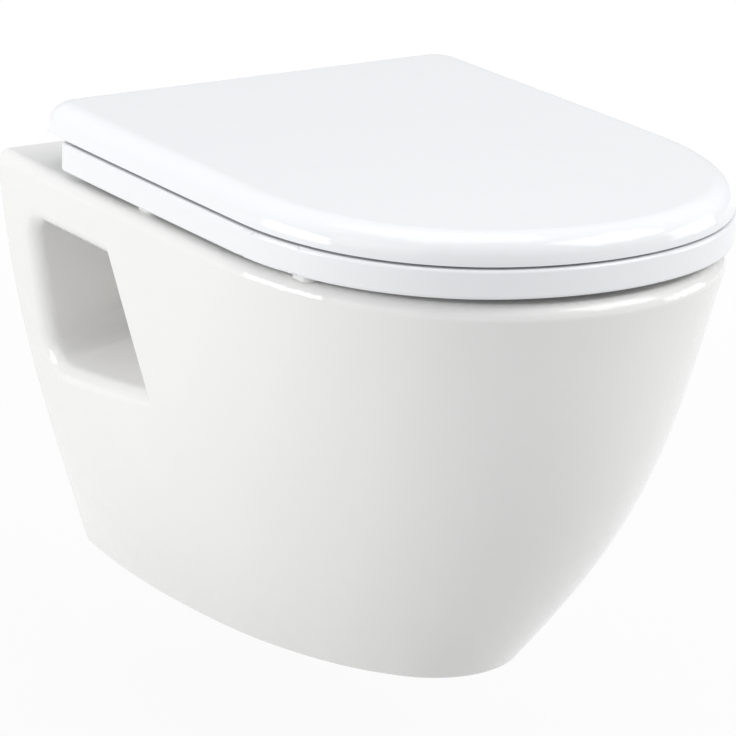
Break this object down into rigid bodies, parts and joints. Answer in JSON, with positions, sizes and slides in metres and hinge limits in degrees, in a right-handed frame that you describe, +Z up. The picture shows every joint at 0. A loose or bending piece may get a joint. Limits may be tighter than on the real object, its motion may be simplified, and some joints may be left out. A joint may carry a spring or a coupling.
{
  "type": "wall hung toilet",
  "caption": "Wall hung toilet pan of glazed china with a D-shaped soft-closing seat ring and lid, open at the back for its flush and waste connectors.",
  "frame": {"origin": "midway between the two wall fixings, on the wall plane", "axes": "+Y into the wall, -Y towards the user, +Z up, +X to the right as seen from the front"},
  "size_m": [0.3546, 0.58, 0.357],
  "materials": {
    "glazed_china": "gloss glaze",
    "seat_plastic": "gloss",
    "buffer_plastic": "soft matt",
    "hinge_metal": "bright",
    "pin_steel": "ground",
    "bush_plastic": "satin",
    "damper_plastic": "satin",
    "seal_rubber": "matt",
    "bolt_steel": "zinc plated",
    "washer_plastic": "matt",
    "wing_nut_plastic": "matt",
    "cap_plastic": "gloss"
  },
  "bodies": {
    "root": {"pan": "glazed_china", "hinge_bracket_left": "hinge_metal", "hinge_bracket_right": "hinge_metal", "hinge_pin_left": "pin_steel", "hinge_pin_right": "pin_steel", "hinge_foot_gaskets": "seal_rubber", "hinge_bolt_sleeves": "seal_rubber", "hinge_bolts": "bolt_steel", "hinge_washers": "washer_plastic", "wing_nuts": "wing_nut_plastic", "wall_studs": "bolt_steel", "stud_sleeves": "washer_plastic", "wall_washers": "washer_plastic", "wall_nuts": "bolt_steel", "nut_caps": "cap_plastic"},
    "seat": {"seat_ring": "seat_plastic", "seat_buffers": "buffer_plastic", "seat_bush": "bush_plastic", "seat_damper": "damper_plastic"},
    "lid": {"lid": "seat_plastic", "lid_buffers": "buffer_plastic", "lid_bush": "bush_plastic", "lid_damper": "damper_plastic"}
  },
  "joints": [
    {"name": "seat_hinge", "type": "hinge", "parent": "root", "child": "seat", "pos_m": [0, -0.06, 0.11], "axis": [-1, 0, 0], "range_deg": [0, 95]},
    {"name": "lid_hinge", "type": "hinge", "parent": "seat", "child": "lid", "pos_m": [0, -0.06, 0.11], "axis": [-1, 0, 0], "range_deg": [0, 95]}
  ]
}
